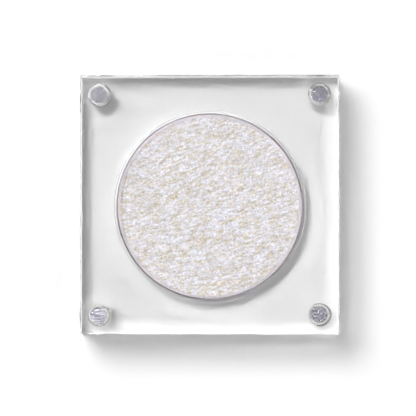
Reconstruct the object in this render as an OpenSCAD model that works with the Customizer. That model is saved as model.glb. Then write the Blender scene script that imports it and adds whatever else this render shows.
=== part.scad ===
// Square compact of clear acrylic: a thick base plate carries one round pan of pressed powder,
// and a thick lid plate is held down on it by four pairs of disc magnets.
// Millimetres. The origin is the centre of the base's underside, +Z is up through the lid.

/* [Case] */
// Side of the square case
case_w = 51; // [50:0.5:60]
// Thickness of the base plate
base_t = 5.95; // [5.6:0.05:9]
// Thickness of the lid plate
lid_t = 3.95; // [3:0.05:7]
// Polished chamfer along every edge of both plates
edge_chamfer = 0.14; // [0.06:0.02:0.4]
// Air film between the closed plates
seam = 0.1; // [0.06:0.02:0.3]

/* [Pan] */
// Diameter over the flared lip of the pan
pan_d = 36.8; // [36:0.1:37]
// Height of the pan
pan_h = 3.8; // [3:0.05:3.9]
// Thickness of the drawn sheet
pan_sheet = 0.25; // [0.2:0.05:0.4]
// How far the lip flares out past the wall
lip_flare = 0.5; // [0.4:0.05:0.9]
// Height of the lip's flare
lip_rise = 0.7; // [0.5:0.05:1]
// Outside radius of the bend between floor and wall
pan_bend = 0.8; // [0.5:0.1:1.2]

/* [Pan well] */
// Play between the pan's lip and the wall of its well
pan_play = 0.5; // [0.3:0.05:0.8]
// How far the well's centre lies in front of the case's centre
well_shift = 0.3; // [0:0.05:0.6]
// How far the pan's brim stays below the base's upper face
brim_drop = 0.2; // [0.1:0.05:0.6]
// Chamfer round the mouth of the well
well_chamfer = 0.15; // [0.05:0.05:0.3]

/* [Powder] */
// Depth of the powder's level below the pan's brim
powder_drop = 0.8; // [0.6:0.02:1.2]
// Height of the bank of powder that stands against the wall
bank_h = 0.22; // [0.1:0.02:0.4]
// Width of that bank
bank_w = 0.55; // [0.3:0.05:1]
// Crown of the pressed surface at its centre
powder_crown = 0.1; // [0.02:0.02:0.2]

/* [Pan adhesive] */
// Margin of bare tin between the adhesive disc and the pan's bend
adhesive_inset = 1.9; // [0.5:0.1:4]
// Thickness of the adhesive disc
adhesive_t = 0.15; // [0.1:0.05:0.2]

/* [Magnets] */
// Magnet diameter
magnet_d = 4; // [3:0.1:4.4]
// Magnet thickness
magnet_t = 2; // [1.5:0.1:2.4]
// Radius of the plated magnet's edge
magnet_edge = 0.35; // [0.1:0.05:0.5]
// Distance from the case's sides to the magnets' centres
magnet_inset = 3.85; // [3.7:0.05:4.3]

/* [Magnet sockets] */
// Gap between a magnet and the wall of its blind socket
glue_gap = 0.3; // [0.25:0.05:0.5]
// Share of that gap by which the glued magnets sit off their sockets' centres
magnet_slip = 0.5; // [0:0.1:0.5]
// Thickness of the glue between a magnet and the end of its socket
glue_t = 0.15; // [0.1:0.05:0.3]
// Share of the magnet's side that the glue has crept along
glue_creep = 0.6; // [0.2:0.05:0.7]
// Angle round the magnet that this collar of glue fills
glue_sweep = 230; // [120:10:330]

/* [Hidden] */
// Clearance between glued faces, and between the powder and its pan
film = 0.02;
// How far cutters run past the faces they open
overrun = 1;
// Overlap of the glue collar with the bed it grows from
glue_squeeze = 0.1;
// Fineness of the round faces, and of the small bends in the sections
$fn = 128;
BEND_STEPS = 6;

// Levels of the closed case
lid_z = base_t + seam;
mate_z = base_t + seam / 2;

// The pan at the centre of its well
pan_r = pan_d / 2;
well_r = pan_r + pan_play;
pan_z = base_t - brim_drop - pan_h;
well_floor = pan_z - adhesive_t - 2 * film;

// The pan's section: outside and inside of the wall, and the flare's slanted sheet
wall_out = pan_r - lip_flare;
wall_in = wall_out - pan_sheet;
bend_centre = wall_out - pan_bend;
flare_len = norm([lip_flare, lip_rise]);
sheet_across = pan_sheet * lip_rise / flare_len;
sheet_up = pan_sheet * lip_flare / flare_len;
flare_z = pan_h - lip_rise - sheet_up;
inner_flare_z = flare_z + sheet_up - (pan_sheet - sheet_across) * lip_rise / lip_flare;

// The powder's section
powder_r = wall_in - film;
powder_level = pan_h - powder_drop;

// Magnets, sockets and glue
magnet_r = magnet_d / 2;
magnet_reach = case_w / 2 - magnet_inset;
socket_r = magnet_r + glue_gap;
collar_h = glue_creep * magnet_t;
slip = magnet_slip * glue_gap;
socket_depth = magnet_t + glue_t + 2 * film - seam / 2;

// Corner name, direction from the centre along X and Y, where the glue collar starts, and which
// way the magnets have slipped
CORNERS = [
    ["front_left", -1, -1, 170, 200],
    ["front_right", 1, -1, 255, 140],
    ["back_left", -1, 1, 20, 160],
    ["back_right", 1, 1, 310, 115]
];
CORNER_KINDS = ["base_magnet", "lid_magnet", "base_glue", "lid_glue"];

CLEAR_ACRYLIC = [0.93, 0.95, 0.95, 0.35];
NICKEL = [0.72, 0.70, 0.78];
TINPLATE = [0.80, 0.78, 0.86];
PEARL_POWDER = [0.93, 0.89, 0.88];
CLEAR_GLUE = [0.86, 0.86, 0.80, 0.6];
ADHESIVE = [0.90, 0.89, 0.86];

// Points along an arc about [x, z], from one angle to another
function arc(x, z, r, from, to) = [
    for (i = [0 : BEND_STEPS])
        let (a = from + (to - from) * i / BEND_STEPS)
            [x + r * cos(a), z + r * sin(a)]
];

// Points along the hollow slope of the powder's bank, from its foot up to the wall
function bank_slope() = [
    for (i = [0 : BEND_STEPS])
        let (t = i / BEND_STEPS)
            [powder_r - bank_w * (1 - t), powder_level + bank_h * t * t]
];

// Rectangle a by b about the origin with its corners cut off at 45 degrees
module eased_rectangle(a, b) {
    c = edge_chamfer;
    x = a / 2;
    y = b / 2;
    polygon([
        [c - x, -y], [x - c, -y], [x, c - y], [x, y - c],
        [x - c, y], [c - x, y], [-x, y - c], [-x, c - y]
    ]);
}

// Square plate standing on z = 0 with all twelve edges chamfered
module polished_plate(thickness) {
    long = case_w + 2 * overrun;
    intersection() {
        linear_extrude(thickness) eased_rectangle(case_w, case_w);
        translate([0, 0, thickness / 2])
            rotate([90, 0, 0])
                linear_extrude(long, center = true) eased_rectangle(case_w, thickness);
        translate([0, 0, thickness / 2])
            rotate([90, 0, 90])
                linear_extrude(long, center = true) eased_rectangle(case_w, thickness);
    }
}

// Places a child at one corner of the magnet square
module at_corner(corner) {
    translate([corner[1] * magnet_reach, corner[2] * magnet_reach, 0]) children();
}

// Places a child where that corner's magnets sit in their sockets
module off_centre(corner) {
    translate([slip * cos(corner[4]), slip * sin(corner[4]), 0]) children();
}

// Places a child at the centre of the well
module at_well() {
    translate([0, -well_shift, 0]) children();
}

// Turns a child built upwards from the mating plane so that it hangs from it
module below_mating_plane() {
    translate([0, 0, mate_z]) mirror([0, 0, 1]) children();
}

module above_mating_plane() {
    translate([0, 0, mate_z]) children();
}

// Four blind sockets, running up from the mating plane
module socket_cutters() {
    for (corner = CORNERS)
        at_corner(corner)
            translate([0, 0, seam / 2 - overrun])
                cylinder(h = socket_depth + overrun, r = socket_r);
}

// The well, with its chamfered mouth running out past the base's upper face
module well_cutter() {
    mouth = well_chamfer + overrun;
    rotate_extrude()
        polygon([
            [0, well_floor], [well_r, well_floor], [well_r, base_t - well_chamfer],
            [well_r + mouth, base_t + overrun], [0, base_t + overrun]
        ]);
}

module base() {
    color(CLEAR_ACRYLIC)
        difference() {
            polished_plate(base_t);
            at_well() well_cutter();
            below_mating_plane() socket_cutters();
        }
}

module lid() {
    color(CLEAR_ACRYLIC)
        difference() {
            translate([0, 0, lid_z]) polished_plate(lid_t);
            above_mating_plane() socket_cutters();
        }
}

// Drawn cup: flat floor, bent-up wall and a lip that flares out to a trimmed brim
module pan() {
    outside = concat(
        [[0, 0]],
        arc(bend_centre, pan_bend, pan_bend, -90, 0),
        [[wall_out, flare_z], [pan_r, flare_z + lip_rise]]
    );
    inside = concat(
        [[pan_r - sheet_across, pan_h], [wall_in, inner_flare_z]],
        arc(bend_centre, pan_bend, pan_bend - pan_sheet, 0, -90),
        [[0, pan_sheet]]
    );
    color(TINPLATE)
        at_well() translate([0, 0, pan_z])
            rotate_extrude() polygon(concat(outside, inside));
}

module pan_adhesive() {
    color(ADHESIVE)
        at_well() translate([0, 0, well_floor + film])
            cylinder(h = adhesive_t, r = bend_centre - adhesive_inset);
}

// Pressed powder: it fills the pan's bend, banks up against the wall and crowns in the middle
module powder_cake() {
    section = concat(
        [[0, pan_sheet + film]],
        arc(bend_centre, pan_bend, pan_bend - pan_sheet - film, -90, 0),
        [for (i = [BEND_STEPS : -1 : 0]) bank_slope()[i]],
        [[0, powder_level + powder_crown]]
    );
    color(PEARL_POWDER)
        at_well() translate([0, 0, pan_z])
            rotate_extrude() polygon(section);
}

// Plated disc magnet, running up from the mating plane
module magnet() {
    e = magnet_edge;
    section = concat(
        [[0, 0]],
        arc(magnet_r - e, e, e, -90, 0),
        arc(magnet_r - e, magnet_t - e, e, 0, 90),
        [[0, magnet_t]]
    );
    rotate_extrude() polygon(section);
}

// Bed of glue at the end of a socket, with a collar that creeps part of the way round the magnet
module glue(corner) {
    inner = magnet_r - slip;
    outer = socket_r - film;
    bed_z = magnet_t + film;
    collar_z = bed_z - collar_h;
    collar = [
        [inner, bed_z + glue_t], [inner, collar_z],
        [outer, collar_z - glue_gap / 2], [outer, bed_z + glue_t]
    ];
    off_centre(corner) translate([0, 0, bed_z]) cylinder(h = glue_t, r = magnet_r + glue_squeeze);
    difference() {
        rotate([0, 0, corner[3]]) rotate_extrude(angle = glue_sweep) polygon(collar);
        off_centre(corner)
            translate([0, 0, bed_z - magnet_t]) cylinder(h = magnet_t, r = magnet_r + film);
    }
}

module base_magnet(corner) {
    color(NICKEL) below_mating_plane() at_corner(corner) off_centre(corner) magnet();
}

module lid_magnet(corner) {
    color(NICKEL) above_mating_plane() at_corner(corner) off_centre(corner) magnet();
}

module base_glue(corner) {
    color(CLEAR_GLUE) below_mating_plane() at_corner(corner) glue(corner);
}

module lid_glue(corner) {
    color(CLEAR_GLUE) above_mating_plane() at_corner(corner) glue(corner);
}

base();
lid();
pan();
pan_adhesive();
powder_cake();
for (corner = CORNERS) {
    base_magnet(corner);
    lid_magnet(corner);
    base_glue(corner);
    lid_glue(corner);
}
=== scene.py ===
"""Dresses the square compact: polished acrylic case, tin pan of pearl powder, nickel magnets in clear glue.

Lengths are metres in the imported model's frame, +Z up. They are millimetres in the materials and where a name
ends in _MM.
"""

import math

import bmesh
import bpy
from bpy.props import FloatProperty, FloatVectorProperty, IntProperty, PointerProperty
from mathutils import Matrix, Vector, noise


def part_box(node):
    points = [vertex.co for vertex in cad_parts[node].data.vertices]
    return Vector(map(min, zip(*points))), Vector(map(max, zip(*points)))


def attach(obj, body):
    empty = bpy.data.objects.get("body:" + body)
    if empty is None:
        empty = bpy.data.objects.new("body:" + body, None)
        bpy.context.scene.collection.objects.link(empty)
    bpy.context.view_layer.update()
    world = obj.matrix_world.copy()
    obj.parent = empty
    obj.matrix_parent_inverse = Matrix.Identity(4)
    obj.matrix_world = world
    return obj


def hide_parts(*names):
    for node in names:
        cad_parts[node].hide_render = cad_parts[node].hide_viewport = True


bl_info = {
    "name": "Square Magnetic Compact",
    "version": (1, 0, 0),
    "blender": (4, 5, 0),
    "location": "3D View > Sidebar > Compact",
    "description": "Builds the finishes and fine shapes of a clear square compact round its CAD frame",
    "category": "Object",
}

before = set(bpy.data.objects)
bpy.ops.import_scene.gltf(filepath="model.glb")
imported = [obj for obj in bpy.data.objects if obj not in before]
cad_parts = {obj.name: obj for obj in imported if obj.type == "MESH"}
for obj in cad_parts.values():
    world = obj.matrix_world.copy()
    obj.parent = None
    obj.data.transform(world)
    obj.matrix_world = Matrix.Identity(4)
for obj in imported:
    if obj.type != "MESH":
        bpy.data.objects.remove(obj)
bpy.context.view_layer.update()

MM = 0.001
FLOAT = "NodeSocketFloat"
VECTOR = "NodeSocketVector"
WHITE = (1.0, 1.0, 1.0, 1.0)

# How far the plating of each corner's magnets is darkened towards dull nickel, and how far it is rubbed, where
# 0 is pitted
DARKENING = {"front_left": 0.48, "front_right": 0.67, "back_left": 0.96, "back_right": 0.90}
RUBBED = {"front_left": 1.0, "front_right": 0.0, "back_left": 0.1, "back_right": 0.0}
CORNERS = tuple(DARKENING)

BASE_LOW, BASE_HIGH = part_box("base")
LID_LOW, LID_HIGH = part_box("lid")
PAN_LOW, PAN_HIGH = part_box("pan")
CAKE_LOW, CAKE_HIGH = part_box("powder_cake")
PAN_CENTRE = Vector(((PAN_LOW.x + PAN_HIGH.x) / 2, (PAN_LOW.y + PAN_HIGH.y) / 2, 0))
PAN_RADIUS = (PAN_HIGH.x - PAN_LOW.x) / 2

# The pan: quads round it, in the bend under it and over its brim, and how its wall eases into the flared lip
PAN_STEPS = 256
BEND_STEPS = 8
BRIM_STEPS = 3
BRIM_ROUNDING = 0.28
EASE_OUT = 0.03 * MM
EASE_DOWN = 0.1 * MM

# The powder: its level under its highest point, its rise along the wall and in the middle, and its lower edge
POWDER_DROP = 0.22 * MM
BANK_RISE = 0.2 * MM
CROWN = 0.06 * MM
LOWER_EDGE = 0.48 * MM

# Its relief: how steeply the creases fall, their mean height, and the share that is left at the wall
CREASE_FALL = 2.4
CREASE_MEAN = 0.6
RELIEF_AT_WALL = 0.3
RELIEF_FADE = 1.0 * MM

# The magnets: rings of quads across a face, quads round the edge and round the disc, and dents in the faces
FACE_RINGS = 14
EDGE_STEPS = 6
DISC_STEPS = 72
DENT_DEPTH = 0.02 * MM
DENT_SIZE_MM = 0.7
DENT_FADE = 0.3 * MM

# The boards under the compact: the card exactly under it, and the floor round that
CARD_DEPTH = 0.02 * MM
CARD_GAP = 0.02 * MM
FLOOR_SPAN = 8.0
FLOOR_DEPTH = 0.004
FLOOR_GAP = 0.05 * MM

# The camera: its distance from the lid, the width it sees there, and the point it looks at. It leans towards
# -Y, and a share of that lean towards +X.
CAMERA_AWAY = 0.6
CAMERA_ACROSS = 0.0816
CAMERA_AIM = Vector((-0.3 * MM, -0.7 * MM, LID_HIGH.z))
CAMERA_LEAN = math.radians(2.0)
CAMERA_SIDEWAYS = 0.3
SENSOR_MM = 36.0


# ---------------------------------------------------------------- settings


class CompactSizes(bpy.types.PropertyGroup):
    """Sizes that the CAD frame leaves to the finished pieces"""

    tin_sheet: FloatProperty(
        name="Tin sheet", description="Thickness of the pan's drawn sheet", default=0.25 * MM, unit="LENGTH"
    )
    lip_flare: FloatProperty(
        name="Lip flare",
        description="How far the pan's lip flares out past its wall",
        default=0.5 * MM,
        unit="LENGTH",
    )
    lip_rise: FloatProperty(
        name="Lip rise", description="Height of the lip's flare", default=0.7 * MM, unit="LENGTH"
    )
    pan_bend: FloatProperty(
        name="Pan bend",
        description="Outside radius of the bend under the pan",
        default=0.8 * MM,
        unit="LENGTH",
    )
    bank_width: FloatProperty(
        name="Powder bank",
        description="Width of the bank of powder along the wall",
        default=0.55 * MM,
        unit="LENGTH",
    )
    crease_depth: FloatProperty(
        name="Crease depth",
        description="Depth of the long creases in the powder",
        default=0.085 * MM,
        unit="LENGTH",
    )
    wrinkle_depth: FloatProperty(
        name="Wrinkle depth",
        description="Depth of the short wrinkles between them",
        default=0.055 * MM,
        unit="LENGTH",
    )
    grain_depth: FloatProperty(
        name="Grain depth",
        description="Depth of the powder's small crumbs",
        default=0.022 * MM,
        unit="LENGTH",
    )
    crease_turn: FloatProperty(
        name="Crease direction",
        description="Direction of the creases from +X",
        default=math.radians(22),
        subtype="ANGLE",
    )
    powder_rows: IntProperty(
        name="Powder rows", description="Quads across the powder's surface", default=296, min=40, max=300
    )
    magnet_edge: FloatProperty(
        name="Magnet edge",
        description="Radius of the magnets' plated edges",
        default=0.35 * MM,
        unit="LENGTH",
    )


class CompactColours(bpy.types.PropertyGroup):
    """Colours of the finished pieces, as linear light"""

    acrylic: FloatVectorProperty(
        name="Acrylic",
        description="Tint of the clear case",
        default=(0.9665, 0.9650, 0.9653),
        subtype="COLOR",
        size=3,
    )
    # Painted shade: a dark tint on the bevel along the back of the case.
    back_edge_shade: FloatVectorProperty(
        name="Sawn edge",
        description="Dull bevel along the back of the case",
        default=(0.10, 0.10, 0.10),
        subtype="COLOR",
        size=3,
    )
    tin: FloatVectorProperty(
        name="Tin",
        description="Colour of the pan's tinplate",
        default=(0.99, 0.97, 0.99),
        subtype="COLOR",
        size=3,
    )
    # Dark band on the pan's brim: partly the bare steel of its cut edge, partly painted shade of the dark ring
    # round the pan.
    cut_edge_and_shade: FloatVectorProperty(
        name="Cut edge",
        description="Bare steel at the cut edge of the tinplate",
        default=(0.32, 0.29, 0.31),
        subtype="COLOR",
        size=3,
    )
    pearl: FloatVectorProperty(
        name="Pearl",
        description="Bright flakes of the powder",
        default=(0.89, 0.878, 0.935),
        subtype="COLOR",
        size=3,
    )
    beige: FloatVectorProperty(
        name="Beige",
        description="Body of the powder between its flakes",
        default=(0.83, 0.745, 0.61),
        subtype="COLOR",
        size=3,
    )
    nickel: FloatVectorProperty(
        name="Nickel",
        description="Plating of the magnets",
        default=(0.54, 0.536, 0.62),
        subtype="COLOR",
        size=3,
    )
    nickel_dark: FloatVectorProperty(
        name="Dull nickel",
        description="Dull stains in the plating",
        default=(0.128, 0.124, 0.165),
        subtype="COLOR",
        size=3,
    )
    # Pale band on the magnets' rounded edges: partly dried glue, partly a painted highlight standing in for
    # their bright rim.
    haze_and_highlight: FloatVectorProperty(
        name="Haze",
        description="Dried glue on the magnets' edges",
        default=(0.95, 0.95, 0.95),
        subtype="COLOR",
        size=3,
    )
    glue: FloatVectorProperty(
        name="Glue",
        description="Tint of the clear glue",
        default=(0.97, 0.97, 0.95),
        subtype="COLOR",
        size=3,
    )
    fibre: FloatVectorProperty(
        name="Fibre",
        description="Fibres of the adhesive disc",
        default=(0.92, 0.91, 0.88),
        subtype="COLOR",
        size=3,
    )
    paper: FloatVectorProperty(
        name="Adhesive",
        description="Colour of the adhesive disc",
        default=(0.83, 0.82, 0.78),
        subtype="COLOR",
        size=3,
    )


class CompactStage(bpy.types.PropertyGroup):
    """Floor, light and camera"""

    key_light: FloatProperty(
        name="Key light",
        description="Share of the light on the compact that comes from its lamp",
        default=0.67,
    )
    key_tilt: FloatProperty(
        name="Key tilt",
        description="Angle from overhead of the lamp that lights the compact",
        default=math.radians(20),
        subtype="ANGLE",
    )
    key_width: FloatProperty(
        name="Key width",
        description="Width in the sky of the lamp that lights the compact",
        default=math.radians(20),
        subtype="ANGLE",
    )
    floor_light: FloatProperty(
        name="Floor lamp light",
        description="Share of the light on the floor that comes from its lamp",
        default=0.54,
    )
    floor_tilt: FloatProperty(
        name="Floor lamp tilt",
        description="Angle from overhead of the lamp that lights the floor around it",
        default=math.radians(35),
        subtype="ANGLE",
    )
    floor_width: FloatProperty(
        name="Floor lamp width",
        description="Width in the sky of the lamp that lights the floor around it",
        default=math.radians(34),
        subtype="ANGLE",
    )
    fill_light: FloatProperty(
        name="Floor fill light",
        description="Share of the light on the floor that comes from all round",
        default=0.16,
    )
    fill_width: FloatProperty(
        name="Floor fill width",
        description="Width in the sky of the soft light on the floor",
        default=math.radians(130),
        subtype="ANGLE",
    )
    lamp_bearing: FloatProperty(
        name="Lamp bearing",
        description="Direction of the key lamp and the floor lamp, from +X",
        default=math.radians(134),
        subtype="ANGLE",
    )
    sky_light: FloatProperty(
        name="Sky light",
        description="Brightness of the sky between its dark top and the horizon",
        default=0.45,
    )
    sky_top: FloatProperty(
        name="Dark top",
        description="Half width of the dark patch overhead",
        default=math.radians(30),
        subtype="ANGLE",
    )
    floor_colour: FloatVectorProperty(
        name="Floor",
        description="Colour of the floor",
        default=(0.985, 0.985, 0.985),
        subtype="COLOR",
        size=3,
    )


# ---------------------------------------------------------------- mesh helpers


def new_object(name, data):
    """Puts a mesh, lamp or camera into the scene."""
    thing = bpy.data.objects.new(name, data)
    bpy.context.scene.collection.objects.link(thing)
    return thing


def face_rank(corners, count):
    """A number that only one face of a closed mesh can have: its lowest corner and the one after that."""
    lowest = corners.index(min(corners))
    return corners[lowest] * count + corners[(lowest + 1) % len(corners)]


def new_mesh(bm, name, material):
    """Makes a mesh from a bmesh. Its faces are sorted, because the spin and the extrusions shuffle them."""
    bm.verts.index_update()
    count = len(bm.verts)
    bm.faces.sort(key=lambda face: face_rank([vert.index for vert in face.verts], count))
    mesh = bpy.data.meshes.new(name)
    bm.to_mesh(mesh)
    bm.free()
    mesh.materials.append(material)
    return mesh


def finish_piece(bm, name, material, body, nodes, crease):
    """Turns a bmesh into a smooth-shaded piece that rides on a body and stands for its CAD nodes."""
    mesh = new_mesh(bm, name, material)
    for face in mesh.polygons:
        face.use_smooth = True
    mesh.set_sharp_from_angle(angle=math.radians(crease))
    piece = new_object(name, mesh)
    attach(piece, body)
    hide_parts(*nodes)


def arc(r, z, radius, start, end, steps):
    """Points (radius, height) along an arc round (r, z), angles in degrees."""
    points = []
    for i in range(steps + 1):
        angle = math.radians(start + (end - start) * i / steps)
        points.append((r + radius * math.cos(angle), z + radius * math.sin(angle)))
    return points


def turned(section, centre, steps):
    """A closed body turned round an upright axis, from a section of (radius, height) points.

    The section starts and ends on the axis.
    """
    bm = bmesh.new()
    verts = [bm.verts.new((centre.x + r, centre.y, z)) for r, z in section]
    edges = [bm.edges.new(pair) for pair in zip(verts, verts[1:])]
    bmesh.ops.spin(
        bm,
        geom=verts + edges,
        cent=centre,
        axis=(0, 0, 1),
        dvec=(0, 0, 0),
        angle=math.tau,
        steps=steps,
        use_merge=True,
        use_duplicate=False,
    )
    bmesh.ops.remove_doubles(bm, verts=bm.verts, dist=1e-7)
    bmesh.ops.recalc_face_normals(bm, faces=bm.faces)
    return bm


# ---------------------------------------------------------------- shader helpers


class Shader:
    """Adds nodes to a node tree. A value that is a socket is linked, any other is set."""

    def __init__(self, tree):
        self.tree = tree

    def give(self, node, values):
        for key, value in values.items():
            if isinstance(value, bpy.types.NodeSocket):
                self.tree.links.new(value, node.inputs[key])
            else:
                node.inputs[key].default_value = value

    def add(self, kind, values=None, **settings):
        node = self.tree.nodes.new(kind)
        for key, value in settings.items():
            setattr(node, key, value)
        self.give(node, values or {})
        return node

    def place(self, scale=(1, 1, 1), turn=(0, 0, 0)):
        """Object coordinates in millimetres, turned and scaled."""
        at = self.add("ShaderNodeTexCoord").outputs["Object"]
        in_mm = self.add("ShaderNodeVectorMath", {0: at, 1: (1 / MM,) * 3}, operation="MULTIPLY").outputs[0]
        turned_to = self.add("ShaderNodeMapping", {"Vector": in_mm, "Rotation": turn})
        return self.add("ShaderNodeMapping", {"Vector": turned_to.outputs[0], "Scale": scale}).outputs[0]

    def split(self, vector):
        return self.add("ShaderNodeSeparateXYZ", {0: vector}).outputs

    def off_axis(self, at):
        """Distance of split coordinates from the pan's upright axis, which stands over the middle of X."""
        off_y = self.calc("SUBTRACT", at["Y"], PAN_CENTRE.y / MM)
        x_squared = self.calc("MULTIPLY", at["X"], at["X"])
        y_squared = self.calc("MULTIPLY", off_y, off_y)
        return self.calc("SQRT", self.calc("ADD", x_squared, y_squared))

    def attribute(self, name):
        """A value that the mesh carries at its points."""
        return self.add("ShaderNodeAttribute", attribute_name=name, attribute_type="GEOMETRY").outputs["Fac"]

    def noise(self, vector, scale, detail, rough=0.5, bend=0.0):
        values = {"Vector": vector, "Scale": scale, "Detail": detail, "Roughness": rough, "Distortion": bend}
        return self.add("ShaderNodeTexNoise", values).outputs["Fac"]

    def span(self, value, low, high, to_low=0.0, to_high=1.0, smooth=False):
        """The stretch from low to high of a value, mapped onto another and held at its ends."""
        values = {"Value": value, "From Min": low, "From Max": high, "To Min": to_low, "To Max": to_high}
        how = "SMOOTHSTEP" if smooth else "LINEAR"
        return self.add("ShaderNodeMapRange", values, interpolation_type=how).outputs["Result"]

    def calc(self, operation, a, b=None):
        values = {0: a} if b is None else {0: a, 1: b}
        return self.add("ShaderNodeMath", values, operation=operation).outputs[0]

    def blend(self, share, a, b):
        """Colour a where share is 0 and b where it is 1."""
        return self.add("ShaderNodeMix", {0: share, 6: a, 7: b}, data_type="RGBA").outputs[2]

    def tinted(self, a, b):
        """Colour a multiplied by colour b."""
        values = {0: 1.0, 6: a, 7: b}
        return self.add("ShaderNodeMix", values, data_type="RGBA", blend_type="MULTIPLY").outputs[2]

    def weighted(self, *parts, start=0.0):
        """Weighted sum of (value, weight) pairs, starting from a constant."""
        total = start
        for value, weight in parts:
            values = {0: value, 1: weight, 2: total}
            total = self.add("ShaderNodeMath", values, operation="MULTIPLY_ADD").outputs[0]
        return total

    def group(self, tree, values):
        return self.add("ShaderNodeGroup", values, node_tree=tree).outputs

    def bump(self, height, strength, depth_mm, normal=None):
        values = {"Height": height, "Strength": strength, "Distance": depth_mm * MM}
        if normal is not None:
            values["Normal"] = normal
        return self.add("ShaderNodeBump", values).outputs["Normal"]


def rgba(colour, share=(1.0, 1.0, 1.0)):
    """A colour with full alpha, dimmed to a share of each channel."""
    return (colour[0] * share[0], colour[1] * share[1], colour[2] * share[2], 1.0)


def new_group(name, inputs, outputs):
    tree = bpy.data.node_groups.new(name, "ShaderNodeTree")
    for socket, kind, value in inputs:
        made = tree.interface.new_socket(name=socket, in_out="INPUT", socket_type=kind)
        made.default_value = value
    for socket, kind in outputs:
        tree.interface.new_socket(name=socket, in_out="OUTPUT", socket_type=kind)
    return tree, tree.nodes.new("NodeGroupInput").outputs, tree.nodes.new("NodeGroupOutput").inputs


def hairline_group():
    """Hairline scratches: thin lines along +X of the incoming coordinates, broken up along their length."""
    name = "hairlines"
    if name in bpy.data.node_groups:
        return bpy.data.node_groups[name]
    inputs = [
        ("Vector", VECTOR, (0, 0, 0)),
        ("Lines per mm", FLOAT, 2.0),
        ("Length", FLOAT, 8.0),
        ("Cover", FLOAT, 0.3),
    ]
    tree, given, put = new_group(name, inputs, [("Mask", FLOAT)])
    s = Shader(tree)
    part = s.split(given["Vector"])
    along = s.calc("DIVIDE", part["X"], given["Length"])
    across = s.add("ShaderNodeCombineXYZ", {"X": along, "Y": part["Y"], "Z": part["Z"]}).outputs[0]
    lines = s.noise(across, given["Lines per mm"], detail=2.0, rough=0.7)
    ridge = s.calc("ABSOLUTE", s.calc("SUBTRACT", lines, 0.5))
    line_width = 0.012
    thin = s.span(ridge, 0.0, line_width, to_low=1.0, to_high=0.0)
    where = s.noise(given["Vector"], scale=0.35, detail=2.0)
    kept = s.span(where, s.calc("SUBTRACT", 0.75, given["Cover"]), 0.8)
    s.tree.links.new(s.calc("MULTIPLY", thin, kept), put["Mask"])
    return tree


def mottle_group():
    """Cloudy mottling in two sizes, spread between a low and a high threshold."""
    name = "mottle"
    if name in bpy.data.node_groups:
        return bpy.data.node_groups[name]
    inputs = [
        ("Vector", VECTOR, (0, 0, 0)),
        ("Per mm", FLOAT, 1.0),
        ("Low", FLOAT, 0.4),
        ("High", FLOAT, 0.6),
    ]
    tree, given, put = new_group(name, inputs, [("Mask", FLOAT), ("Height", FLOAT)])
    s = Shader(tree)
    finer, coarse_share, fine_share = 3.7, 0.7, 0.3
    coarse = s.noise(given["Vector"], given["Per mm"], detail=3.0, rough=0.6, bend=0.6)
    fine = s.noise(given["Vector"], s.calc("MULTIPLY", given["Per mm"], finer), detail=2.0)
    both = s.calc("ADD", s.calc("MULTIPLY", coarse, coarse_share), s.calc("MULTIPLY", fine, fine_share))
    s.tree.links.new(s.span(both, given["Low"], given["High"], smooth=True), put["Mask"])
    s.tree.links.new(both, put["Height"])
    return tree


def new_material(name):
    material = bpy.data.materials.new(name)
    material.use_nodes = True
    surface = material.node_tree.nodes["Principled BSDF"]
    return material, Shader(material.node_tree), surface


def acrylic_material(colours):
    """Polished cast acrylic, with painted shade on its back bevel, a matt bore round the pan and faint
    hairlines.
    """
    material, s, surface = new_material("polished_acrylic")
    at = s.split(s.place())
    back = BASE_HIGH.y / MM
    bevel_starts = (back - 0.16, back - 0.14)
    bevel_stops = (back - 0.004, back - 0.006)
    shade_from_x = (-18.0, -6.0)
    # Painted shade on the back bevel, fading in from left of the middle and full towards the back right
    # corner.
    bevel = s.calc("MULTIPLY", s.span(at["Y"], *bevel_starts), s.span(at["Y"], *bevel_stops))
    shaded_bevel = s.calc("MULTIPLY", bevel, s.span(at["X"], *shade_from_x, smooth=True))

    near_the_brim = (0.5, 0.6)
    upright_slope = (0.1, 0.2)
    bored_roughness = 0.55
    off_wall = s.calc("ABSOLUTE", s.calc("SUBTRACT", s.off_axis(at), PAN_RADIUS / MM))
    near = s.span(off_wall, *near_the_brim, to_low=1.0, to_high=0.0)
    normal = s.add("ShaderNodeNewGeometry").outputs["True Normal"]
    upright = s.span(s.calc("ABSOLUTE", s.split(normal)["Z"]), *upright_slope, to_low=1.0, to_high=0.0)
    bored = s.calc("MULTIPLY", near, upright)

    along = s.place(turn=(0, 0, 0.5))
    lines = s.group(hairline_group(), {"Vector": along, "Lines per mm": 1.1, "Length": 14.0, "Cover": 0.2})
    s.give(surface, {
        "Base Color": s.blend(shaded_bevel, rgba(colours.acrylic), rgba(colours.back_edge_shade)),
        "Transmission Weight": 1.0,
        "IOR": 1.49,
        "Roughness": s.calc("MULTIPLY", bored, bored_roughness),
        "Normal": s.bump(lines["Mask"], strength=0.02, depth_mm=0.003),
    })
    return material


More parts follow.
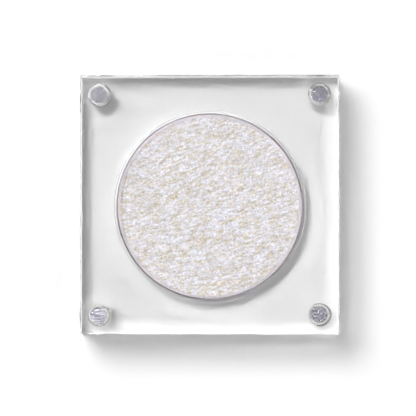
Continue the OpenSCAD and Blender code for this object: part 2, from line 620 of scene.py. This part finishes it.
def tin_material(colours):
    """Drawn tinplate: bright and cool, with rings left by the tool, dull patches, and a dark band on its brim
    that is partly the bare cut edge and partly painted shade.
    """
    material, s, surface = new_material("drawn_tinplate")
    dull = s.group(mottle_group(), {"Vector": s.place(), "Per mm": 0.6, "Low": 0.42, "High": 0.66})
    dulled = (0.86, 0.84, 0.88)
    plate = s.blend(dull["Mask"], rgba(colours.tin), rgba(colours.tin, dulled))
    at = s.split(s.place())
    radius = s.off_axis(at)
    brim = PAN_RADIUS / MM
    # The dark band on the brim is partly bare steel at the cut edge and partly painted shade, reaching further
    # in than the cut edge itself.
    dark_brim_from = (brim - 0.37, brim - 0.23)
    cut = s.span(radius, *dark_brim_from, smooth=True)
    ring = s.add("ShaderNodeCombineXYZ", {"X": radius, "Z": at["Z"]}).outputs[0]
    tool_marks = s.noise(ring, scale=7.0, detail=3.0, rough=0.7)
    s.give(surface, {
        "Base Color": s.blend(cut, plate, rgba(colours.cut_edge_and_shade)),
        "Metallic": 1.0,
        "Roughness": s.span(dull["Height"], 0.3, 0.7, to_low=0.24, to_high=0.42),
        "Normal": s.bump(tool_marks, strength=0.25, depth_mm=0.02),
    })
    return material


def powder_material(colours):
    """Pressed pearl powder: lavender-white flakes and a beige body, both streaked, with painted light on the
    crests of its relief (lighter and more lavender) and painted shade in its creases (darker and more beige).
    """
    material, s, surface = new_material("pearl_powder")
    crest = s.attribute("crest")
    body = s.attribute("body")
    drawn_out = s.place(scale=(0.3, 1.0, 1.0), turn=(0, 0, -0.3))
    crumbs = s.noise(drawn_out, scale=2.7, detail=0.5, rough=0.7, bend=0.25)
    grit = s.noise(s.place(), scale=3.1, detail=0.5, rough=0.8)
    smeared = s.place(scale=(0.45, 1.0, 1.0), turn=(0, 0, -0.6))
    clumps = s.noise(smeared, scale=1.5, detail=1.0, rough=0.6, bend=0.4)
    flake = s.add("ShaderNodeTexVoronoi", {"Vector": s.place(), "Scale": 3.4}, feature="F1")
    chance = s.add("ShaderNodeSeparateColor", {0: flake.outputs["Color"]}).outputs
    # The crest term is painted light and shade: it makes the relief's crests lavender-white and its creases
    # beige.
    beige = s.weighted(
        (body, 0.42),
        (crumbs, -1.5),
        (clumps, 1.1),
        (grit, 0.3),
        (chance[0], 0.2),
        (crest, -0.25),
        start=0.22,
    )
    hue = s.blend(s.span(beige, 0.0, 1.0, smooth=True), rgba(colours.pearl), rgba(colours.beige))
    # The crest term is painted light and shade: it makes the crests lighter and the creases darker.
    tone = s.weighted(
        (crest, 0.12),
        (crumbs, 0.52),
        (grit, 0.85),
        (clumps, -0.2),
        (chance[1], 0.1),
        start=0.25,
    )
    shade = s.add("ShaderNodeCombineColor", {"Red": tone, "Green": tone, "Blue": tone}).outputs[0]
    crumbled = s.bump(crumbs, strength=0.5, depth_mm=0.05)
    s.give(surface, {
        "Base Color": s.tinted(hue, shade),
        "Roughness": s.span(chance[2], 0.0, 1.0, to_low=0.34, to_high=0.62),
        "Specular IOR Level": 0.35,
        "Sheen Weight": 0.05,
        "Normal": s.bump(chance[0], strength=0.35, depth_mm=0.02, normal=crumbled),
    })
    return material


def nickel_material(colours):
    """Nickel plating over a pressed magnet: pitted, or rubbed in lines, with a pale patchy band on its round
    edge that is partly dried glue and partly a painted highlight of its bright rim.
    """
    material, s, surface = new_material("nickel_plating")
    rubbed = s.attribute("rubbed")
    at = s.place()
    pits = s.noise(at, scale=2.9, detail=1.0, rough=0.8, bend=0.4)
    stretched = s.place(scale=(0.12, 1.0, 1.0), turn=(0, 0, -0.12))
    streaks = s.noise(stretched, scale=4.4, detail=1.0, rough=0.7)
    pit_contrast, streak_contrast = 4.6, 4.4
    unrubbed = s.calc("SUBTRACT", 1.0, rubbed)
    pitting = s.calc("MULTIPLY", s.weighted((pits, pit_contrast), start=-pit_contrast / 2), unrubbed)
    rubbing = s.calc("MULTIPLY", s.weighted((streaks, streak_contrast), start=-streak_contrast / 2), rubbed)
    # Each corner's magnets are darkened by their own set amount, on top of their pits and rubbing.
    stain = s.weighted((pitting, 1.0), (rubbing, 1.0), (s.attribute("tarnish"), 1.0))
    plating = s.blend(s.span(stain, 0.0, 1.0, smooth=True), rgba(colours.nickel), rgba(colours.nickel_dark))
    # A pale patchy band on the rounded edge: partly dried glue, partly a painted highlight of the edge's
    # bright rim.
    edge = s.span(s.attribute("from_centre"), 0.78, 0.86, smooth=True)
    patches = s.noise(at, scale=0.55, detail=1.0)
    patchy = s.span(patches, 0.36, 0.46, to_low=0.35, to_high=1.0, smooth=True)
    haze_and_highlight = s.calc("MULTIPLY", edge, patchy)
    s.give(surface, {
        "Base Color": s.blend(haze_and_highlight, plating, rgba(colours.haze_and_highlight)),
        "Metallic": s.span(haze_and_highlight, 0.0, 1.0, to_low=1.0, to_high=0.0),
        "Roughness": s.span(stain, 0.0, 1.0, to_low=0.42, to_high=0.56),
        "Normal": s.bump(stain, strength=0.3, depth_mm=0.03),
    })
    return material


def glue_material(colours):
    """Clear glue that has set with ripples and small bubbles."""
    material, s, surface = new_material("set_glue")
    at = s.place()
    ripple = s.group(mottle_group(), {"Vector": at, "Per mm": 1.3, "Low": 0.35, "High": 0.65})
    bubble = s.add("ShaderNodeTexVoronoi", {"Vector": at, "Scale": 2.6}, feature="F1").outputs["Distance"]
    bubbles = s.span(bubble, 0.05, 0.2, to_low=0.0, to_high=0.5, smooth=True)
    height = s.calc("ADD", ripple["Height"], bubbles)
    s.give(surface, {
        "Base Color": rgba(colours.glue),
        "Transmission Weight": 1.0,
        "IOR": 1.46,
        "Roughness": 0.03,
        "Normal": s.bump(height, strength=0.5, depth_mm=0.1),
    })
    return material


def paper_material(colours):
    """Double-sided adhesive on a fibre carrier."""
    material, s, surface = new_material("adhesive_tissue")
    along = s.place(turn=(0, 0, 1.1))
    fibre = s.group(hairline_group(), {"Vector": along, "Lines per mm": 1.4, "Length": 4.0, "Cover": 0.5})
    cloud = s.group(mottle_group(), {"Vector": s.place(), "Per mm": 0.4, "Low": 0.35, "High": 0.65})
    wetted = (0.9, 0.9, 0.88)
    sheet = s.blend(cloud["Mask"], rgba(colours.paper), rgba(colours.paper, wetted))
    s.give(surface, {
        "Base Color": s.blend(fibre["Mask"], sheet, rgba(colours.fibre)),
        "Roughness": s.span(cloud["Height"], 0.3, 0.7, to_low=0.4, to_high=0.7),
        "Normal": s.bump(fibre["Mask"], strength=0.3, depth_mm=0.03),
    })
    return material


# ---------------------------------------------------------------- pieces


def give_material(node, material):
    """Puts a finish on a CAD node, which keeps its own shape."""
    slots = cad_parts[node].material_slots
    if not slots:
        raise RuntimeError(f"{node} has no material slot")
    for one in slots:
        one.material = material


class COMPACT_OT_case(bpy.types.Operator):
    """Give the base and the lid their polished acrylic"""

    bl_idname = "compact.case"
    bl_label = "Acrylic case"

    def execute(self, context):
        material = acrylic_material(context.scene.compact_colours)
        for node in ("base", "lid"):
            give_material(node, material)
        return {"FINISHED"}


class COMPACT_OT_pan(bpy.types.Operator):
    """Turn the drawn tin pan with its flared lip and rounded brim"""

    bl_idname = "compact.pan"
    bl_label = "Tin pan"

    def execute(self, context):
        sizes = context.scene.compact_sizes
        low, top = PAN_LOW.z, PAN_HIGH.z
        sheet, flare, rise, bend = sizes.tin_sheet, sizes.lip_flare, sizes.lip_rise, sizes.pan_bend
        wall = PAN_RADIUS - flare
        slant = math.hypot(flare, rise)
        across, up = sheet * rise / slant, sheet * flare / slant
        foot = top - rise - up
        inner_foot = foot + up - (sheet - across) * rise / flare
        brim = sheet * BRIM_ROUNDING
        section = [(0.0, low)]
        section += arc(wall - bend, low + bend, bend, -90, 0, BEND_STEPS)
        section += [(wall, foot - EASE_DOWN), (wall + EASE_OUT, foot)]
        section += [(PAN_RADIUS - brim, foot + rise - brim)]
        section += arc(PAN_RADIUS - brim, foot + rise, brim, -30, 40, BRIM_STEPS)
        section += arc(PAN_RADIUS - across - brim * 0.4, top - brim, brim, 60, 130, BRIM_STEPS)
        section += [(wall - sheet + EASE_OUT, inner_foot), (wall - sheet, inner_foot - EASE_DOWN)]
        section += arc(wall - bend, low + bend, bend - sheet, 0, -90, BEND_STEPS)
        section += [(0.0, low + sheet)]
        bm = turned(section, PAN_CENTRE, PAN_STEPS)
        material = tin_material(context.scene.compact_colours)
        finish_piece(bm, "tin_pan", material, "base", ["pan"], 50.0)
        return {"FINISHED"}


class COMPACT_OT_adhesive(bpy.types.Operator):
    """Give the disc under the pan its tissue adhesive"""

    bl_idname = "compact.adhesive"
    bl_label = "Pan adhesive"

    def execute(self, context):
        give_material("pan_adhesive", paper_material(context.scene.compact_colours))
        return {"FINISHED"}


def to_disc(x, y):
    """A point of the square -1..1 moved to the unit disc, row by row."""
    if x == 0 and y == 0:
        return 0.0, 0.0
    if abs(x) > abs(y):
        r, turn = x, (math.pi / 4) * (y / x)
    else:
        r, turn = y, (math.pi / 2) - (math.pi / 4) * (x / y)
    return r * math.cos(turn), r * math.sin(turn)


def powder_relief(x, y, turn):
    """Shares of crease, wrinkle, crumb and beige body in the powder, at a place in millimetres."""

    def swirl(width, seed):
        return noise.noise(Vector((x / width, y / width, seed)))

    def streak(length, width, seed):
        return noise.noise(Vector((u / length, v / width, seed)))

    sway = turn + 0.5 * swirl(8.0, seed=3.1)
    u = x * math.cos(sway) + y * math.sin(sway)
    v = -x * math.sin(sway) + y * math.cos(sway)
    u += 0.35 * swirl(1.3, seed=7.7)
    v += 0.30 * swirl(1.1, seed=21.7)
    crease = 1 - CREASE_FALL * abs(streak(1.9, 0.75, seed=1.3))
    wrinkle = 1 - CREASE_FALL * abs(streak(0.85, 0.42, seed=5.9))
    crumb = noise.fractal(Vector((x / 0.38, y / 0.38, 2.4)), 0.7, 2.0, 2)
    broad = streak(4.0, 2.4, seed=12.5)
    middling = streak(1.6, 0.95, seed=15.5)
    small = streak(0.85, 0.5, seed=18.5)
    body = 0.5 + 0.2 * broad + 0.55 * middling + 0.9 * small
    return crease, wrinkle, crumb, body


class COMPACT_OT_powder(bpy.types.Operator):
    """Press the creased pearl powder into the pan"""

    bl_idname = "compact.powder"
    bl_label = "Pearl powder"

    def execute(self, context):
        sizes = context.scene.compact_sizes
        rows, bank = sizes.powder_rows, sizes.bank_width
        radius = (CAKE_HIGH.x - CAKE_LOW.x) / 2
        top, low = CAKE_HIGH.z, CAKE_LOW.z
        level = top - POWDER_DROP
        bm = bmesh.new()
        bmesh.ops.create_grid(bm, x_segments=rows, y_segments=rows, size=1.0)
        crest_shading_layer = bm.verts.layers.float.new("crest")
        body_layer = bm.verts.layers.float.new("body")
        for vert in bm.verts:
            dx, dy = to_disc(vert.co.x, vert.co.y)
            x, y = dx * radius, dy * radius
            far = math.hypot(x, y)
            to_wall = (radius - far) / bank
            crease, wrinkle, crumb, body = powder_relief(x / MM, y / MM, sizes.crease_turn)
            calm = min(1.0, RELIEF_AT_WALL + (radius - far) / RELIEF_FADE)
            creased = sizes.crease_depth * (crease - CREASE_MEAN)
            wrinkled = sizes.wrinkle_depth * (wrinkle - CREASE_MEAN)
            height = calm * (creased + wrinkled + sizes.grain_depth * crumb)
            slope = BANK_RISE * max(0.0, 1 - to_wall) ** 2
            crown = CROWN * (1 - (far / radius) ** 2)
            z = level + crown + height + slope
            vert.co = Vector((PAN_CENTRE.x + x, PAN_CENTRE.y + y, min(z, top)))
            # Painted light and shade: how high a point stands in its creases and wrinkles, which the material
            # turns into lighter crests and darker creases.
            vert[crest_shading_layer] = max(0.0, min(1.0, 0.2 + 0.4 * crease + 0.35 * wrinkle + 0.2 * crumb))
            vert[body_layer] = max(0.0, min(1.0, body))
        ring = [edge for edge in bm.edges if edge.is_boundary]
        side_and_foot = (
            (radius, low + LOWER_EDGE * 2.5),
            (radius, low + LOWER_EDGE),
            (radius - LOWER_EDGE * 0.3, low + LOWER_EDGE * 0.3),
            (radius - LOWER_EDGE, low),
        )
        for r, z in side_and_foot:
            grown = bmesh.ops.extrude_edge_only(bm, edges=ring)["geom"]
            ring = [item for item in grown if isinstance(item, bmesh.types.BMEdge)]
            for vert in {v for edge in ring for v in edge.verts}:
                flat = Vector((vert.co.x - PAN_CENTRE.x, vert.co.y - PAN_CENTRE.y, 0)).normalized() * r
                vert.co = PAN_CENTRE + flat + Vector((0, 0, z))
        bmesh.ops.contextual_create(bm, geom=ring)
        bmesh.ops.recalc_face_normals(bm, faces=bm.faces)
        material = powder_material(context.scene.compact_colours)
        finish_piece(bm, "pearl_powder", material, "base", ["powder_cake"], 60.0)
        return {"FINISHED"}


class COMPACT_OT_magnets(bpy.types.Operator):
    """Make the eight plated disc magnets"""

    bl_idname = "compact.magnets"
    bl_label = "Magnets"

    def execute(self, context):
        edge = context.scene.compact_sizes.magnet_edge
        material = nickel_material(context.scene.compact_colours)
        for body in ("base", "lid"):
            for corner in CORNERS:
                node = f"{body}_magnet_{corner}"
                low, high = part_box(node)
                centre = Vector(((low.x + high.x) / 2, (low.y + high.y) / 2, 0))
                radius = (high.x - low.x) / 2
                flat = radius - edge
                rings = [flat * i / FACE_RINGS for i in range(FACE_RINGS)]
                section = [(r, low.z) for r in rings]
                section += arc(flat, low.z + edge, edge, -90, 0, EDGE_STEPS)
                section += arc(flat, high.z - edge, edge, 0, 90, EDGE_STEPS)
                section += [(r, high.z) for r in reversed(rings)]
                bm = turned(section, centre, DISC_STEPS)
                self.hammer(bm, centre, low.z, high.z, flat)
                place_layer = bm.verts.layers.float.new("from_centre")
                darkening_layer = bm.verts.layers.float.new("tarnish")
                rubbed_layer = bm.verts.layers.float.new("rubbed")
                for vert in bm.verts:
                    vert[place_layer] = math.hypot(vert.co.x - centre.x, vert.co.y - centre.y) / radius
                    vert[darkening_layer] = DARKENING[corner]
                    vert[rubbed_layer] = RUBBED[corner]
                finish_piece(bm, f"magnet_{body}_{corner}", material, body, [node], 60.0)
        return {"FINISHED"}

    def hammer(self, bm, centre, low, high, flat):
        """Shallow dents in the two faces, sunk into the metal and never proud of it."""
        for vert in bm.verts:
            far = math.hypot(vert.co.x - centre.x, vert.co.y - centre.y)
            upper = abs(vert.co.z - high) < 1e-6
            lower = abs(vert.co.z - low) < 1e-6
            if (upper or lower) and far < flat:
                at = Vector((vert.co.x / MM, vert.co.y / MM, vert.co.z / MM)) / DENT_SIZE_MM
                depth = DENT_DEPTH * (0.5 + 0.5 * noise.fractal(at, 0.9, 2.0, 3))
                dent = max(0.0, depth * min(1.0, (flat - far) / DENT_FADE))
                vert.co.z += -dent if upper else dent


class COMPACT_OT_glue(bpy.types.Operator):
    """Give the beds of glue round the magnets their clear, rippled finish"""

    bl_idname = "compact.glue"
    bl_label = "Glue"

    def execute(self, context):
        material = glue_material(context.scene.compact_colours)
        for body in ("base", "lid"):
            for corner in CORNERS:
                give_material(f"{body}_glue_{corner}", material)
        return {"FINISHED"}


# ---------------------------------------------------------------- stage


def aim(thing, towards):
    """Turns a camera or lamp so that it looks along a direction, with +Y up in what it sees."""
    look = towards.normalized()
    right = look.cross(Vector((0, 1, 0))).normalized()
    over = right.cross(look)
    thing.rotation_mode = "QUATERNION"
    thing.rotation_quaternion = Matrix((right, over, -look)).transposed().to_quaternion()


def sun(name, tilt, bearing, width, share):
    """A far round lamp that alone gives a level white floor this share of full white."""
    lamp = bpy.data.lights.new(name, "SUN")
    lamp.angle = width
    lamp.energy = share * math.pi / math.cos(tilt)
    thing = new_object(name, lamp)
    across = math.sin(tilt)
    aim(thing, -Vector((across * math.cos(bearing), across * math.sin(bearing), math.cos(tilt))))
    return thing


def reach(lamp, thing, state):
    """Gives a lamp to one thing alone (INCLUDE), or to everything but that thing (EXCLUDE)."""
    lit = bpy.data.collections.new(lamp.name + "_reach")
    lit.objects.link(thing)
    lit.collection_objects[0].light_linking.link_state = state
    lamp.light_linking.receiver_collection = lit


def white_slab(name, size, top, material):
    """A thin white board for the compact to stand on, with its upper face at the height given."""
    bm = bmesh.new()
    bmesh.ops.create_cube(bm, size=1.0)
    bmesh.ops.scale(bm, vec=size, verts=bm.verts)
    bmesh.ops.translate(bm, vec=(0, 0, top - size[2] / 2), verts=bm.verts)
    slab = new_object(name, new_mesh(bm, name, material))
    return slab


def studio_sky(strength, dark_top):
    """White walls all round under a dark patch overhead, and plain white where the camera sees the sky."""
    world = bpy.data.worlds.new("studio")
    world.use_nodes = True
    s = Shader(world.node_tree)
    for old in list(world.node_tree.nodes):
        world.node_tree.nodes.remove(old)
    path = s.add("ShaderNodeLightPath").outputs
    up = s.split(s.add("ShaderNodeTexCoord").outputs["Generated"])["Z"]
    soft_edge = math.radians(5)
    open_sky = s.span(up, math.cos(dark_top - soft_edge), math.cos(dark_top + soft_edge), smooth=True)
    # Glass and metal show the white walls. Only matt surfaces are lit at the strength given.
    no_bounce_yet = (0.4, 0.6)
    lighting = s.span(path["Diffuse Depth"], *no_bounce_yet, to_low=1.0, to_high=strength)
    level = s.calc("MULTIPLY", open_sky, lighting)
    light = s.add("ShaderNodeBackground", {"Color": WHITE, "Strength": level}).outputs[0]
    white = s.add("ShaderNodeBackground", {"Color": WHITE, "Strength": 1.0}).outputs[0]
    mixed = s.add("ShaderNodeMixShader", {0: path["Is Camera Ray"], 1: light, 2: white}).outputs[0]
    s.add("ShaderNodeOutputWorld", {"Surface": mixed})
    world.cycles.sampling_method = "NONE"
    bpy.context.scene.world = world


class COMPACT_OT_stage(bpy.types.Operator):
    """Lay the white floor, hang the lamps and set the camera over the compact"""

    bl_idname = "compact.stage"
    bl_label = "Stage"

    def execute(self, context):
        scene = context.scene
        stage = scene.compact_stage
        material, s, surface = new_material("white_floor")
        s.give(surface, {"Base Color": rgba(stage.floor_colour), "Roughness": 1.0, "Specular IOR Level": 0.0})
        footprint = LID_HIGH.x - LID_LOW.x
        white_slab("card", (footprint, footprint, CARD_DEPTH), -CARD_GAP, material)
        floor = white_slab("floor", (FLOOR_SPAN, FLOOR_SPAN, FLOOR_DEPTH), -FLOOR_GAP, material)

        key = sun("key_lamp", stage.key_tilt, stage.lamp_bearing, stage.key_width, stage.key_light)
        side = sun("floor_lamp", stage.floor_tilt, stage.lamp_bearing, stage.floor_width, stage.floor_light)
        fill = sun("floor_fill", 0.0, 0.0, stage.fill_width, stage.fill_light)
        reach(key, floor, "EXCLUDE")
        reach(side, floor, "INCLUDE")
        reach(fill, floor, "INCLUDE")
        studio_sky(stage.sky_light, stage.sky_top)

        lens = bpy.data.cameras.new("camera")
        lens.sensor_width = SENSOR_MM
        lens.lens = SENSOR_MM * CAMERA_AWAY / CAMERA_ACROSS
        lens.clip_start, lens.clip_end = 0.01, 20.0
        camera = new_object("camera", lens)
        lean = math.sin(CAMERA_LEAN)
        back = Vector((CAMERA_SIDEWAYS * lean, -lean, math.cos(CAMERA_LEAN)))
        camera.location = CAMERA_AIM + back * CAMERA_AWAY
        aim(camera, -back)
        scene.camera = camera

        scene.view_settings.view_transform = "Standard"
        scene.cycles.blur_glossy = 0.0
        scene.cycles.sample_clamp_indirect = 0.0
        scene.cycles.max_bounces = 24
        scene.cycles.transmission_bounces = 24
        scene.cycles.glossy_bounces = 12
        return {"FINISHED"}


# ---------------------------------------------------------------- panel


STEPS = (
    COMPACT_OT_case,
    COMPACT_OT_pan,
    COMPACT_OT_adhesive,
    COMPACT_OT_powder,
    COMPACT_OT_magnets,
    COMPACT_OT_glue,
    COMPACT_OT_stage,
)


class COMPACT_PT_panel(bpy.types.Panel):
    """Sidebar panel with the compact's pieces and settings"""

    bl_idname = "COMPACT_PT_panel"
    bl_label = "Compact"
    bl_space_type = "VIEW_3D"
    bl_region_type = "UI"
    bl_category = "Compact"

    def draw(self, context):
        column = self.layout.column(align=True)
        for step in STEPS:
            column.operator(step.bl_idname)
        for settings in GROUPS:
            group = getattr(context.scene, settings)
            box = self.layout.box()
            for name in group.__annotations__:
                box.prop(group, name)


GROUPS = {"compact_sizes": CompactSizes, "compact_colours": CompactColours, "compact_stage": CompactStage}
CLASSES = (*GROUPS.values(), *STEPS, COMPACT_PT_panel)


def register():
    for one in CLASSES:
        bpy.utils.register_class(one)
    for name, group in GROUPS.items():
        setattr(bpy.types.Scene, name, PointerProperty(type=group))


def unregister():
    for name in GROUPS:
        delattr(bpy.types.Scene, name)
    for one in reversed(CLASSES):
        bpy.utils.unregister_class(one)


def main():
    register()
    bpy.ops.compact.case()
    bpy.ops.compact.pan()
    bpy.ops.compact.adhesive()
    bpy.ops.compact.powder()
    bpy.ops.compact.magnets()
    bpy.ops.compact.glue()
    bpy.ops.compact.stage()


if __name__ == "__main__":
    main()
